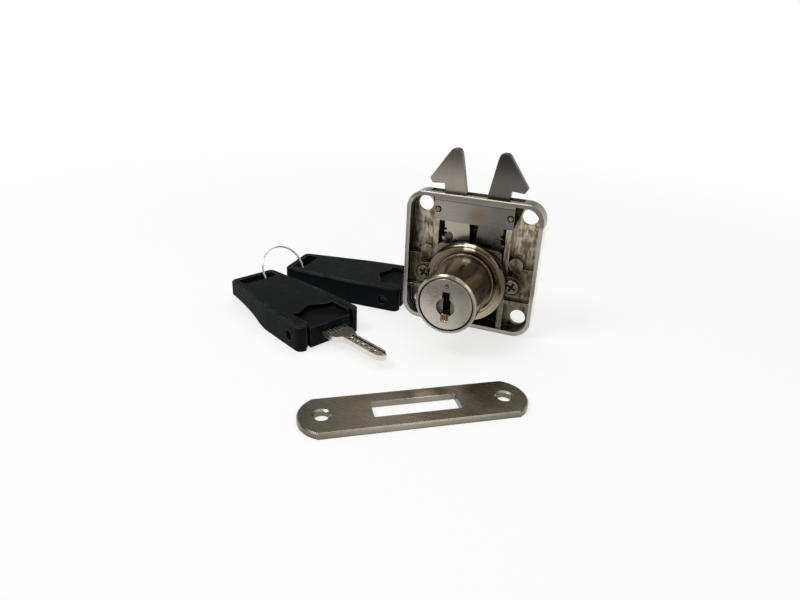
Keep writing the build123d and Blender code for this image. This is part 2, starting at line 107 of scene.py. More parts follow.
def remap(tree, value, low, high, toLow=0.0, toHigh=1.0, smooth=True):
    style = "SMOOTHSTEP" if smooth else "LINEAR"
    node = addNode(
        tree,
        "ShaderNodeMapRange",
        {"Value": value, "From Min": low, "From Max": high, "To Min": toLow, "To Max": toHigh},
        interpolation_type=style,
    )
    return node.outputs["Result"]


def noise(tree, place, scale, detail=2.0, roughness=0.5, distortion=0.0):
    node = addNode(
        tree,
        "ShaderNodeTexNoise",
        {
            "Vector": place,
            "Scale": scale,
            "Detail": detail,
            "Roughness": roughness,
            "Distortion": distortion,
        },
    )
    return node.outputs[0]


def stretched(tree, place, scale, turn=(0.0, 0.0, 0.0)):
    node = addNode(tree, "ShaderNodeMapping", {"Vector": place, "Scale": scale, "Rotation": turn})
    return node.outputs[0]


def bump(tree, height, distance, strength=1.0, normal=None):
    values = {"Height": height, "Distance": distance, "Strength": strength}
    if normal is not None:
        values["Normal"] = normal
    return addNode(tree, "ShaderNodeBump", values).outputs[0]


def newMaterial(name):
    material = bpy.data.materials.new(name)
    material.use_nodes = True
    tree = material.node_tree
    tree.nodes.clear()
    shader = addNode(tree, "ShaderNodeBsdfPrincipled")
    addNode(tree, "ShaderNodeOutputMaterial", {"Surface": shader.outputs[0]})
    place = addNode(tree, "ShaderNodeTexCoord").outputs["Object"]
    return material, tree, shader, place


# Where the bright edges (wear and painted highlight) and the dark corners (grime and painted shade)
# begin and end: agreement of two normals at an edge, open sky in a corner
wearLimits = {
    "edgeSamples": 4,
    "edgeAgreement": (0.995, 0.90),
    "cornerSamples": 6,
    "cornerSky": (0.85, 0.25),
}


def edgeFinder(tree, radius):
    # A normal that rounds the edges, and how far it leaves the true one.
    samples = wearLimits["edgeSamples"]
    rounded = addNode(tree, "ShaderNodeBevel", {"Radius": radius}, samples=samples).outputs[0]
    true = addNode(tree, "ShaderNodeNewGeometry").outputs["True Normal"]
    agree = addNode(tree, "ShaderNodeVectorMath", {0: rounded, 1: true}, operation="DOT_PRODUCT")
    edge = remap(tree, agree.outputs["Value"], *wearLimits["edgeAgreement"], smooth=False)
    return rounded, edge


def crevice(tree, distance):
    # 0 in the open, 1 in the corners.
    samples = wearLimits["cornerSamples"]
    node = addNode(tree, "ShaderNodeAmbientOcclusion", {"Distance": distance}, samples=samples)
    return remap(tree, node.outputs["AO"], *wearLimits["cornerSky"], smooth=False)


def facingAlong(tree, axis):
    # How far a face looks along one axis, from -1 to 1.
    facing = addNode(tree, "ShaderNodeNewGeometry").outputs["True Normal"]
    return addNode(tree, "ShaderNodeSeparateXYZ", {0: facing}).outputs[axis]


def softSpan(tree, value, low, high, soft):
    # 1 between low and high, with soft ends inside them.
    rise = remap(tree, value, low, low + soft)
    fall = remap(tree, value, high - soft, high, 1.0, 0.0)
    return calculate(tree, "MULTIPLY", rise, fall)


def withinBox(tree, place, low, high, soft):
    # 1 in a box given in millimetres, with soft sides outside it.
    parts = addNode(tree, "ShaderNodeSeparateXYZ", {0: place}).outputs
    amount = None
    for axis, start, end in zip("XYZ", low, high):
        both = softSpan(tree, parts[axis], (start - soft) * mm, (end + soft) * mm, soft * mm)
        amount = both if amount is None else calculate(tree, "MULTIPLY", amount, both)
    return amount


# Where the loose pieces lie on the table: x and y in millimetres, turn in degrees
lyingPlaces = {
    "nearKey": (-31.5, -28.9, -24.1),
    "farKey": (-22.3, 8.2, 3.2),
    "strike": (2.48, -50.57, 35.1),
}


def ownFrame(tree, place, lyingPlace):
    # Coordinates measured from a loose piece instead of from the lock.
    x, y, turn = lyingPlace
    back = Matrix.Rotation(math.radians(-turn), 3, "Z")
    shift = -(back @ Vector((x * mm, y * mm, 0.0)))
    values = {"Vector": place, "Location": shift, "Rotation": (0.0, 0.0, math.radians(-turn))}
    return addNode(tree, "ShaderNodeMapping", values).outputs[0]


def withPaintedShading(tree, place, tone, fades):
    # Painted shading: each fade multiplies the tone by one factor before its start and another
    # beyond its end.
    parts = addNode(tree, "ShaderNodeSeparateXYZ", {0: place}).outputs
    for axis, start, end, first, second in fades:
        amount = remap(tree, parts[axis], start * mm, end * mm, first, second)
        tone = mixColour(tree, 1.0, tone, amount, mode="MULTIPLY")
    return tone


# The rough casting: a rounded square inside the rim, from behind the rim's face to the back
castingSpan = {
    "halfSize": 20.0 * mm,
    "middleHeight": 20.0 * mm,
    "squareness": 8.0,
    "rimFade": (0.721, 0.886),
    "frontFade": (-2.2, -1.7),
    "backFade": (4.25, 4.40),
}


def insideCase(tree, place):
    # 1 on the rough casting inside the rim, 0 on the rim's face, the case's outside and its back.
    half = castingSpan["halfSize"]
    values = {
        "Vector": place,
        "Location": (0, 0, -castingSpan["middleHeight"] / half),
        "Scale": (1 / half,) * 3,
    }
    middle = addNode(tree, "ShaderNodeMapping", values).outputs[0]
    parts = addNode(tree, "ShaderNodeSeparateXYZ", {0: middle}).outputs
    powers = []
    for axis in ("X", "Z"):
        reach = calculate(tree, "ABSOLUTE", parts[axis])
        powers.append(calculate(tree, "POWER", reach, castingSpan["squareness"]))
    within = remap(tree, calculate(tree, "ADD", *powers), *castingSpan["rimFade"], 1.0, 0.0)
    depth = addNode(tree, "ShaderNodeSeparateXYZ", {0: place}).outputs["Y"]
    start, end = (value * mm for value in castingSpan["backFade"])
    within = calculate(tree, "MULTIPLY", within, remap(tree, depth, start, end, 1.0, 0.0))
    start, end = (value * mm for value in castingSpan["frontFade"])
    return calculate(tree, "MULTIPLY", within, remap(tree, depth, start, end))


# Plated metal: two tones in soft blotches, brush lines, grime and painted shade in the corners, and
# bright edges from wear and painted highlight.
# A metal may also have painted shading along its axes, sides darkened as painted shade, a rough
# casting inside the rim and soft marks, among them painted highlights and painted shade.
plainMetal = {
    "tone": (0.27, 0.245, 0.21),
    "otherTone": (0.20, 0.175, 0.145),
    "blotch": 150.0,
    "blotchRange": (0.30, 0.70),
    "fades": (),
    # Range of facing over which the sides are darkened as painted shade
    "sideRange": (0.4, 0.9),
    # Grime and painted shade, darker where corners close in
    "grime": (0.030, 0.022, 0.013),
    "grimeReach": 0.9 * mm,
    "grimeAmount": 0.85,
    # Bright edges: wear and painted highlight
    "edge": (0.78, 0.72, 0.62),
    "edgeRadius": 0.13 * mm,
    "edgeAmount": 0.5,
    "roughness": (0.20, 0.30),
    "roughRange": (0.7, 1.3),
    "lines": (500.0, 9000.0, 500.0),
    "lineTurn": (0.0, 0.0, 0.0),
    "lineDepth": 0.004 * mm,
    "pitScale": 2600.0,
    "pitDepth": 0.0025 * mm,
    "marks": (),
}


def metal(name, **changes):
    finish = {**plainMetal, **changes}
    material, tree, shader, place = newMaterial(name)
    own = ownFrame(tree, place, finish["place"]) if "place" in finish else place
    blotches = noise(tree, place, finish["blotch"], detail=4.0, roughness=0.5)
    amount = remap(tree, blotches, *finish["blotchRange"])
    tone = mixColour(tree, amount, finish["otherTone"], finish["tone"])
    # Painted shading: the tone is lighter or darker along the axes given
    tone = withPaintedShading(tree, own, tone, finish["fades"])
    # Painted shade: faces that don't look along the given axis are darkened
    if "sides" in finish:
        axis, factor = finish["sides"]
        front = calculate(tree, "ABSOLUTE", facingAlong(tree, axis))
        amount = remap(tree, front, *finish["sideRange"], factor, 1.0)
        tone = mixColour(tree, 1.0, tone, amount, mode="MULTIPLY")
    rounded, edge = edgeFinder(tree, finish["edgeRadius"])
    # Grime and painted shade: the tone darkens in the corners
    dirtAndShade = calculate(tree, "MULTIPLY", crevice(tree, finish["grimeReach"]), finish["grimeAmount"])
    tone = mixColour(tree, dirtAndShade, tone, finish["grime"])
    # Bright edges: wear and painted highlight
    edgeAmount = calculate(tree, "MULTIPLY", edge, finish["edgeAmount"])
    tone = mixColour(tree, edgeAmount, tone, finish["edge"])
    along = stretched(tree, place, finish["lines"], finish["lineTurn"])
    lines = noise(tree, along, 1.0, detail=3.0)
    pits = noise(tree, place, finish["pitScale"], detail=3.0)
    normal = bump(tree, lines, finish["lineDepth"], normal=rounded)
    normal = bump(tree, pits, finish["pitDepth"], normal=normal)
    grain = calculate(tree, "ADD", lines, blotches)
    roughness = remap(tree, grain, *finish["roughRange"], *finish["roughness"])
    if "cast" in finish:
        cast = finish["cast"]
        inside = insideCase(tree, place)
        lumps = noise(tree, place, cast["scale"], detail=5.0, roughness=0.6, distortion=0.6)
        runs = noise(tree, stretched(tree, place, cast["runs"]), 1.0, detail=4.0, roughness=0.6)
        relief = calculate(tree, "ADD", lumps, runs)
        height = calculate(tree, "MULTIPLY", relief, inside)
        normal = bump(tree, height, cast["depth"], normal=normal)
        stains = remap(tree, relief, *cast["stainRange"])
        castTone = mixColour(tree, stains, cast["stain"], cast["bare"])
        # Painted shading on the casting, then grime and painted shade in its corners
        castTone = withPaintedShading(tree, place, castTone, cast["fades"])
        castTone = mixColour(tree, dirtAndShade, castTone, finish["grime"])
        tone = mixColour(tree, inside, tone, castTone)
        # Bright edges on the casting: wear and painted highlight
        wornAndHighlit = calculate(tree, "MULTIPLY", edge, cast["edgeAmount"])
        wornAndHighlit = calculate(tree, "MULTIPLY", wornAndHighlit, inside)
        tone = mixColour(tree, wornAndHighlit, tone, finish["edge"])
        dull = calculate(tree, "MULTIPLY", inside, cast["dull"])
        roughness = calculate(tree, "ADD", roughness, dull, clamp=True)
    for mark in finish["marks"]:
        amount = withinBox(tree, own, mark["low"], mark["high"], mark["soft"])
        amount = calculate(tree, "MULTIPLY", amount, mark["amount"])
        tone = mixColour(tree, amount, tone, mark["tone"])
    tree.links.new(tone, shader.inputs["Base Color"])
    tree.links.new(roughness, shader.inputs["Roughness"])
    tree.links.new(normal, shader.inputs["Normal"])
    shader.inputs["Metallic"].default_value = 1.0
    return material


plasticFinish = {
    "tone": (0.0020, 0.0037, 0.0038),
    "scuffed": (0.0043, 0.0072, 0.0074),
    "scuffScale": 140.0,
    "scuffRange": (0.45, 0.75),
    "grainScale": 4200.0,
    "grainDepth": 0.010 * mm,
    "edgeRadius": 0.22 * mm,
    # Bright edges: wear and painted highlight
    "edge": (0.16, 0.18, 0.18),
    "edgeAmount": 0.85,
    "wornAndHighlitRange": (0.3, 0.6),
    # Painted shade in the corners
    "corner": (0.001, 0.0015, 0.0015),
    "cornerReach": 0.8 * mm,
    "roughRange": (0.3, 0.7),
    "roughness": (0.46, 0.62),
    "shine": 0.055,
}


def plastic(name, finish):
    material, tree, shader, place = newMaterial(name)
    scuffs = noise(tree, place, finish["scuffScale"], detail=6.0, roughness=0.7)
    amount = remap(tree, scuffs, *finish["scuffRange"])
    tone = mixColour(tree, amount, finish["tone"], finish["scuffed"])
    # Bright edges: wear and painted highlight
    rounded, edge = edgeFinder(tree, finish["edgeRadius"])
    wornAndHighlit = calculate(tree, "MULTIPLY", edge, finish["edgeAmount"])
    wornAndHighlit = calculate(tree, "MULTIPLY", wornAndHighlit, remap(tree, scuffs, *finish["wornAndHighlitRange"]))
    tone = mixColour(tree, wornAndHighlit, tone, finish["edge"])
    # Painted shade: the tone darkens in the corners
    tone = mixColour(tree, crevice(tree, finish["cornerReach"]), tone, finish["corner"])
    grain = noise(tree, place, finish["grainScale"], detail=2.0, roughness=0.6)
    roughness = remap(tree, scuffs, *finish["roughRange"], *finish["roughness"])
    tree.links.new(tone, shader.inputs["Base Color"])
    tree.links.new(roughness, shader.inputs["Roughness"])
    tree.links.new(bump(tree, grain, finish["grainDepth"], normal=rounded), shader.inputs["Normal"])
    shader.inputs["Specular IOR Level"].default_value = finish["shine"]
    return material


# Painted shading on the case: darker at the top, brighter on the right side, darker on the left;
# inside the rim, painted shade towards the left wall, the bottom and the back
caseMetal = metal(
    "caseMetal",
    tone=(0.40, 0.375, 0.33),
    otherTone=(0.33, 0.31, 0.265),
    fades=(
        ("Z", 36.5, 38.9, 1.0, 0.46),
        ("X", 19.75, 20.0, 1.0, 2.5),
        ("X", -19.6, -18.6, 0.74, 1.0),
    ),
    edge=(0.88, 0.80, 0.64),
    edgeAmount=0.7,
    lines=(700.0, 700.0, 700.0),
    cast={
        "scale": 330.0,
        "runs": (1500.0, 400.0, 260.0),
        "depth": 0.11 * mm,
        "stain": (0.085, 0.068, 0.039),
        "bare": (0.34, 0.305, 0.225),
        "stainRange": (0.80, 1.20),
        "fades": (
            ("X", -18.9, -15.8, 0.33, 1.0),
            ("Z", 19.0, 28.0, 0.44, 1.35),
            ("X", 10.0, 13.0, 1.0, 1.3),
            ("Y", 1.95, 2.6, 1.0, 0.12),
        ),
        "edgeAmount": 0.65,
        "dull": 0.10,
    },
    marks=(
        # Painted shade on the top of the case
        {
            "low": (-21.0, -2.0, 39.8),
            "high": (21.0, 6.0, 41.0),
            "soft": 0.12,
            "tone": (0.072, 0.062, 0.050),
            "amount": 0.85,
        },
        # Painted highlight along the top edge of the rim's face
        {
            "low": (-16.0, -2.7, 39.78),
            "high": (16.5, -2.12, 40.5),
            "soft": 0.10,
            "tone": (0.95, 0.86, 0.66),
            "amount": 0.85,
        },
        # Painted shade on the upper right of the case
        {
            "low": (18.0, -2.3, 34.5),
            "high": (21.0, 6.0, 38.5),
            "soft": 1.2,
            "tone": (0.14, 0.105, 0.085),
            "amount": 0.8,
        },
    ),
)
# Painted shading on the sheet metal: darker towards the right
sheetMetal = metal(
    "sheetMetal",
    lines=(300.0, 9000.0, 7000.0),
    tone=(0.28, 0.26, 0.235),
    otherTone=(0.245, 0.225, 0.20),
    blotch=90.0,
    fades=(("X", -9.0, 8.0, 1.0, 0.52),),
    edge=(0.62, 0.57, 0.48),
    grimeAmount=0.5,
    marks=(
        {
            "low": (0.2, -3.0, 34.6),
            "high": (1.8, 0.0, 34.9),
            "soft": 3.2,
            "tone": (0.15, 0.095, 0.060),
            "amount": 0.5,
        },
        # Painted shadow: a dark line along the top of the plate, under the rim
        {
            "low": (-12.0, -3.0, 37.82),
            "high": (12.0, 0.0, 38.5),
            "soft": 0.12,
            "tone": (0.035, 0.028, 0.020),
            "amount": 0.9,
        },
    ),
)
# The carrier's sheet metal, painted dark as shade inside the case
shadedCarrierMetal = metal("shadedCarrierMetal", tone=(0.040, 0.032, 0.022), otherTone=(0.020, 0.016, 0.011))
rivetMetal = metal(
    "rivetMetal", tone=(0.20, 0.18, 0.155), otherTone=(0.13, 0.115, 0.10), edgeAmount=0.3
)
# Painted shading on the barrel: lighter along its top and its bottom, darker at its foot by the
# case
barrelMetal = metal(
    "barrelMetal",
    tone=(0.205, 0.180, 0.137),
    otherTone=(0.155, 0.134, 0.099),
    blotch=90.0,
    fades=(
        ("Z", 19.5, 24.0, 1.0, 2.3),
        ("Z", 17.0, 11.0, 1.0, 1.9),
        ("Y", -3.9, -3.4, 1.0, 0.35),
    ),
    edge=(0.60, 0.51, 0.36),
    lines=(300.0, 6000.0, 300.0),
    roughness=(0.18, 0.27),
    marks=(
        {
            "low": (1.45, -18.0, 22.0),
            "high": (1.95, -14.2, 26.0),
            "soft": 0.15,
            "tone": (0.012, 0.009, 0.005),
            "amount": 0.9,
        },
        {
            "low": (-9.0, -24.0, 6.0),
            "high": (9.0, -23.45, 25.0),
            "soft": 0.12,
            "tone": (0.37, 0.345, 0.30),
            "amount": 0.95,
        },
        # Painted shade on the top of the barrel's front face
        {
            "low": (-3.0, -24.0, 23.6),
            "high": (2.0, -23.2, 25.0),
            "soft": 0.5,
            "tone": (0.17, 0.158, 0.135),
            "amount": 0.9,
        },
    ),
)
# Painted shading on the trim ring: lighter towards its bottom, darker on its right
trimMetal = metal(
    "trimMetal",
    tone=(0.150, 0.130, 0.087),
    otherTone=(0.120, 0.103, 0.067),
    blotch=90.0,
    fades=(("Z", 17.0, 6.0, 1.0, 3.9), ("X", 3.0, 9.0, 1.0, 0.75)),
    edge=(0.66, 0.58, 0.42),
    edgeAmount=0.7,
    lines=(300.0, 300.0, 300.0),
    roughness=(0.10, 0.16),
    marks=(
        # Painted highlight at the top of the ring
        {
            "low": (-0.4, -8.0, 25.7),
            "high": (1.8, -3.9, 26.9),
            "soft": 0.9,
            "tone": (1.0, 0.96, 0.84),
            "amount": 1.0,
        },
    ),
)
# The cross in each ear screw's head, painted dark from just under its face: painted shade in the
# recess
screwCrossShade = {"across": 13.3, "height": 15.8, "reach": 1.6, "front": -3.62, "back": -2.9}
# Painted shading on the screws: the left one darker, the right one lighter
screwMetal = metal(
    "screwMetal",
    tone=(0.19, 0.168, 0.134),
    otherTone=(0.12, 0.105, 0.082),
    fades=(("X", -10.0, 10.0, 0.62, 1.2),),
    grime=(0.004, 0.003, 0.002),
    grimeReach=1.0 * mm,
    grimeAmount=1.0,
    marks=tuple(
        {
            "low": (
                side * screwCrossShade["across"] - screwCrossShade["reach"],
                screwCrossShade["front"],
                screwCrossShade["height"] - screwCrossShade["reach"],
            ),
            "high": (
                side * screwCrossShade["across"] + screwCrossShade["reach"],
                screwCrossShade["back"],
                screwCrossShade["height"] + screwCrossShade["reach"],
            ),
            "soft": 0.03,
            "tone": (0.006, 0.005, 0.004),
            "amount": 0.95,
        }
        for side in (-1, 1)
    ),
)
# Painted shading on the plug: darker towards its top and its right, and darker behind its face in
# the keyway
plugMetal = metal(
    "plugMetal",
    tone=(0.60, 0.555, 0.49),
    otherTone=(0.50, 0.46, 0.40),
    blotch=110.0,
    fades=(
        ("Z", 13.0, 22.0, 1.05, 0.52),
        ("X", -3.0, 6.5, 1.0, 0.72),
        ("Y", -23.5, -23.25, 1.0, 0.38),
    ),
    marks=(
        # Painted highlight on the dimple above the keyway
        {
            "low": (-0.35, -24.0, 20.8),
            "high": (0.35, -23.3, 21.4),
            "soft": 0.3,
            "tone": (0.88, 0.84, 0.76),
            "amount": 0.9,
        },
    ),
    lines=(900.0, 900.0, 2600.0),
    lineTurn=(0.0, 0.7, 0.0),
    lineDepth=0.012 * mm,
    grimeReach=0.7 * mm,
    grimeAmount=1.0,
    grime=(0.012, 0.008, 0.005),
    roughness=(0.24, 0.36),
)
waferMetal = metal("waferMetal", tone=(0.50, 0.33, 0.18), otherTone=(0.36, 0.22, 0.11))
wardMetal = metal(
    "wardMetal",
    tone=(0.20, 0.125, 0.070),
    otherTone=(0.12, 0.070, 0.035),
    edge=(0.85, 0.70, 0.55),
    edgeAmount=0.8,
    edgeRadius=0.08 * mm,
    grimeReach=0.4 * mm,
)
springMetal = metal("springMetal", tone=(0.62, 0.62, 0.62))
crankMetal = metal("crankMetal", tone=(0.30, 0.28, 0.25))
postMetal = metal(
    "postMetal", tone=(0.105, 0.098, 0.085), otherTone=(0.065, 0.060, 0.050), edgeAmount=0.35
)
# Painted shading on the hooks: darker towards their heads and on the right hook; their side faces
# darkened as painted shade
hookMetal = metal(
    "hookMetal",
    tone=(0.42, 0.385, 0.335),
    otherTone=(0.36, 0.325, 0.28),
    blotch=110.0,
    fades=(
        ("Z", 33.0, 41.0, 1.0, 0.70),
        ("Z", 43.0, 51.5, 1.0, 0.32),
        ("X", -1.5, 1.5, 1.0, 0.42),
    ),
    sides=("Y", 0.25),
    edge=(0.62, 0.56, 0.46),
    edgeAmount=0.55,
    lines=(5000.0, 300.0, 300.0),
    roughness=(0.24, 0.34),
)
# Painted shading on the strike: darker towards both ends, and its side faces darkened as painted
# shade
strikeMetal = metal(
    "strikeMetal",
    place=lyingPlaces["strike"],
    tone=(0.48, 0.45, 0.37),
    otherTone=(0.43, 0.395, 0.315),
    blotch=60.0,
    fades=(("X", 4.5, 21.0, 1.0, 0.68), ("X", -27.5, -10.5, 0.60, 1.0)),
    sides=("Z", 0.62),
    edge=(0.70, 0.66, 0.56),
    edgeAmount=0.35,
    lines=(260.0, 5000.0, 500.0),
    lineTurn=(0.0, 0.0, -math.radians(lyingPlaces["strike"][2])),
    lineDepth=0.002 * mm,
    pitDepth=0.001 * mm,
    marks=(
        # Painted highlight beside the slot
        {
            "low": (1.5, 3.6, 1.0),
            "high": (5.5, 4.4, 2.0),
            "soft": 2.0,
            "tone": (0.92, 0.86, 0.66),
            "amount": 0.8,
        },
        # Painted shade between the slot and the right hole
        {
            "low": (13.4, 3.2, 1.0),
            "high": (15.6, 4.6, 2.0),
            "soft": 2.0,
            "tone": (0.17, 0.15, 0.10),
            "amount": 0.6,
        },
        # Painted shade between the slot and the right hole
        {
            "low": (16.2, -3.2, 1.0),
            "high": (18.4, 0.2, 2.0),
            "soft": 2.0,
            "tone": (0.19, 0.17, 0.115),
            "amount": 0.55,
        },
        # Painted shade on the walls of the slot
        {
            "low": (-10.6, -3.1, -0.1),
            "high": (10.6, 3.1, 1.4),
            "soft": 0.1,
            "tone": (0.24, 0.225, 0.185),
            "amount": 0.9,
        },
        # Painted shade on the wall of the left screw hole
        {
            "low": (-24.4, -2.2, -0.1),
            "high": (-20.0, 2.2, 1.2),
            "soft": 0.1,
            "tone": (0.16, 0.145, 0.11),
            "amount": 0.9,
        },
        # Painted shade on the wall of the right screw hole
        {
            "low": (20.0, -2.2, -0.1),
            "high": (24.4, 2.2, 1.2),
            "soft": 0.1,
            "tone": (0.16, 0.145, 0.11),
            "amount": 0.9,
        },
    ),
)
ringMetal = metal(
    "ringMetal", tone=(0.74, 0.73, 0.71), otherTone=(0.58, 0.56, 0.53), grimeAmount=0.6
)
blackPlastic = plastic("blackPlastic", plasticFinish)
pinMetal = metal(
    "pinMetal", tone=(0.020, 0.020, 0.020), otherTone=(0.010, 0.010, 0.010), edgeAmount=0.1
)

# Key blades: dull milled faces with painted shade in the milled cuts, bright sides, and plain
# milled ticks on the shoulder
bladeFinish = {
    "face": (0.82, 0.78, 0.66),
    "side": (0.74, 0.71, 0.64),
    "flatRange": (0.5, 0.9),
    "pit": (0.11, 0.095, 0.070),
    "pitRange": (0.38, 0.62),
    "milling": (900.0, 2600.0, 900.0),
    "millingDepth": 0.05 * mm,
    "milledLow": (7.0, -0.4, 2.9),
    "milledHigh": (19.9, 2.6, 4.2),
    "milledSoft": 0.05,
    # Painted shade in the milled cuts
    "milledShade": (0.11, 0.092, 0.062),
    "shoulderEnd": (6.5, 8.0),
    "shoulderShade": 0.36,
    "tickPitch": 0.95,
    "tickWave": (0.15, 0.55),
    "tickBand": (-0.5, 2.6),
    "tickReach": (-2.2, 3.8),
    "tickSoft": 0.2,
    "tickDepth": 0.05 * mm,
    "tickTone": (0.62, 0.60, 0.54),
    "tickGround": (0.02, 0.018, 0.014),
    "tickGroundAmount": 0.8,
    # Bright edges: wear and painted highlight
    "edge": (0.85, 0.82, 0.74),
    "edgeRadius": 0.12 * mm,
    "edgeAmount": 0.5,
    # Grime and painted shade in the corners
    "grime": (0.03, 0.024, 0.015),
    "grimeReach": 0.5 * mm,
    "roughRange": (0.3, 0.7),
    "roughness": (0.22, 0.40),
}


def bladeMetal(name, lyingPlace, finish):
    material, tree, shader, place = newMaterial(name)
    own = ownFrame(tree, place, lyingPlace)
    parts = addNode(tree, "ShaderNodeSeparateXYZ", {0: own}).outputs
    flat = remap(tree, facingAlong(tree, "Z"), *finish["flatRange"])
    along = stretched(tree, own, finish["milling"])
    milling = noise(tree, along, 1.0, detail=5.0, roughness=0.7)
    dull = mixColour(tree, remap(tree, milling, *finish["pitRange"]), finish["pit"], finish["face"])
    # Painted shade in the milled cuts
    low, high = finish["milledLow"], finish["milledHigh"]
    milled = withinBox(tree, own, low, high, finish["milledSoft"])
    dull = mixColour(tree, milled, dull, finish["milledShade"])
    start, end = (value * mm for value in finish["shoulderEnd"])
    shoulder = tuple(finish["shoulderShade"] * value for value in finish["face"])
    dull = mixColour(tree, remap(tree, parts["X"], start, end), shoulder, dull)
    tone = mixColour(tree, calculate(tree, "MAXIMUM", flat, milled), finish["side"], dull)

    wave = calculate(tree, "MULTIPLY", parts["Y"], 2 * math.pi / (finish["tickPitch"] * mm))
    ticks = remap(tree, calculate(tree, "SINE", wave), *finish["tickWave"])
    spans = []
    for axis, span in (("X", finish["tickBand"]), ("Y", finish["tickReach"])):
        low, high = (value * mm for value in span)
        spans.append(softSpan(tree, parts[axis], low, high, finish["tickSoft"] * mm))
    ground = calculate(tree, "MULTIPLY", calculate(tree, "MULTIPLY", *spans), flat)
    ticks = calculate(tree, "MULTIPLY", ticks, ground)
    amount = calculate(tree, "MULTIPLY", ground, finish["tickGroundAmount"])
    tone = mixColour(tree, amount, tone, finish["tickGround"])
    tone = mixColour(tree, ticks, tone, finish["tickTone"])

    # Bright edges: wear and painted highlight
    rounded, edge = edgeFinder(tree, finish["edgeRadius"])
    wornAndHighlit = calculate(tree, "MULTIPLY", edge, finish["edgeAmount"])
    tone = mixColour(tree, wornAndHighlit, tone, finish["edge"])
    # Grime and painted shade: the tone darkens in the corners
    tone = mixColour(tree, crevice(tree, finish["grimeReach"]), tone, finish["grime"])
    normal = bump(tree, milling, finish["millingDepth"], normal=rounded)
    normal = bump(tree, ticks, finish["tickDepth"], normal=normal)
    roughness = remap(tree, milling, *finish["roughRange"], *finish["roughness"])
    tree.links.new(tone, shader.inputs["Base Color"])
    tree.links.new(normal, shader.inputs["Normal"])
    tree.links.new(roughness, shader.inputs["Roughness"])
    shader.inputs["Metallic"].default_value = 1.0
    return material


nearBladeMetal = bladeMetal("nearBladeMetal", lyingPlaces["nearKey"], bladeFinish)
farBladeMetal = bladeMetal("farBladeMetal", lyingPlaces["farKey"], bladeFinish)
print("materials made")

# One material for each of the record's slots, and two nodes with their own
nodeMaterials = {
    "nickel_casting": caseMetal,
    "nickel_sheet": sheetMetal,
    "rivet_steel": rivetMetal,
    "nickel_barrel": barrelMetal,
    "trim_metal": trimMetal,
    "screw_steel": screwMetal,
    "plug_metal": plugMetal,
    "wafer_brass": waferMetal,
    "spring_steel": springMetal,
    "crank_steel": crankMetal,
    "post_steel": postMetal,
    "hook_steel": hookMetal,
    "strike_metal": strikeMetal,
    "ring_wire": ringMetal,
    "black_plastic": blackPlastic,
    "pin_steel": pinMetal,
    "key_metal": nearBladeMetal,
}
ownMaterials = {"carrier": shadedCarrierMetal, "far_key_blade": farBladeMetal}


def dressNodes():
    slotOf = {part["node"]: part["material_slot"] for part in frame["record"]["subparts"]}
    for name, piece in nodes.items():
        slot = slotOf[name]
        piece.data.materials.clear()
        piece.data.materials.append(ownMaterials.get(name, nodeMaterials[slot]))


dressNodes()
print("nodes dressed")

# Detail pieces, each made where it sits


def finishPiece(bm, name, material, body):
    bmesh.ops.recalc_face_normals(bm, faces=bm.faces)
    mesh = bpy.data.meshes.new(name)
    bm.to_mesh(mesh)
    bm.free()
    mesh.materials.append(material)
    for face in mesh.polygons:
        face.use_smooth = True
    piece = bpy.data.objects.new(name, mesh)
    bpy.context.scene.collection.objects.link(piece)
    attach(piece, body)
    return piece


# Key ring: where it leans through both heads, its wire and its turns
splitRing = {
    "centre": Vector((-62.6, -3.3, 7.45)) * mm,
    "turn": 69.4,
    "lean": 60.0,
    "radius": 7.8 * mm,
    "wire": 0.20 * mm,
    "pitch": 0.41 * mm,
    "turns": 2.0,
    "start": 200.0,
    "steps": 192,
    "wireSides": 14,
}


def makeSplitRing(ring):
    # Two turns of round wire, side by side, in place of the plain loop.
    bm = bmesh.new()
    bmesh.ops.create_circle(bm, radius=ring["wire"], segments=ring["wireSides"])
    upright = Matrix.Rotation(math.radians(90), 3, "X")
    bmesh.ops.rotate(bm, verts=bm.verts, matrix=upright)
    height = ring["pitch"] * ring["turns"] / 2
    bmesh.ops.translate(bm, verts=bm.verts, vec=(ring["radius"], 0, -height))
    start = Matrix.Rotation(math.radians(ring["start"]), 3, "Z")
    bmesh.ops.rotate(bm, verts=bm.verts, matrix=start)
    bmesh.ops.spin(
        bm,
        geom=bm.edges[:],
        cent=(0, 0, 0),
        axis=(0, 0, 1),
        dvec=(0, 0, ring["pitch"] * ring["turns"] / ring["steps"]),
        angle=math.radians(360) * ring["turns"],
        steps=ring["steps"],
    )
    wireEnds = [edge for edge in bm.edges if edge.is_boundary]
    bmesh.ops.holes_fill(bm, edges=wireEnds, sides=0)
    lean = Matrix.Rotation(math.radians(ring["turn"]), 4, "Z")
    lean = lean @ Matrix.Rotation(math.radians(ring["lean"]), 4, "X")
    bmesh.ops.transform(bm, verts=bm.verts, matrix=Matrix.Translation(ring["centre"]) @ lean)
    piece = finishPiece(bm, "split_ring", ringMetal, "ring")
    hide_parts("key_ring")


# Coppery warding in the foot of the keyway
keywayWard = {
    "centre": Vector((0.0, -22.75, 11.75)) * mm,
    "size": Vector((2.05, 1.2, 2.1)) * mm,
    "recesses": 3,
    "frame": 0.22 * mm,
    "sink": 0.35 * mm,
    "edge": 0.07 * mm,
    "sharpAngle": 0.8,  # radians
    "forward": -0.9,  # a front face's normal is below this along Y
}


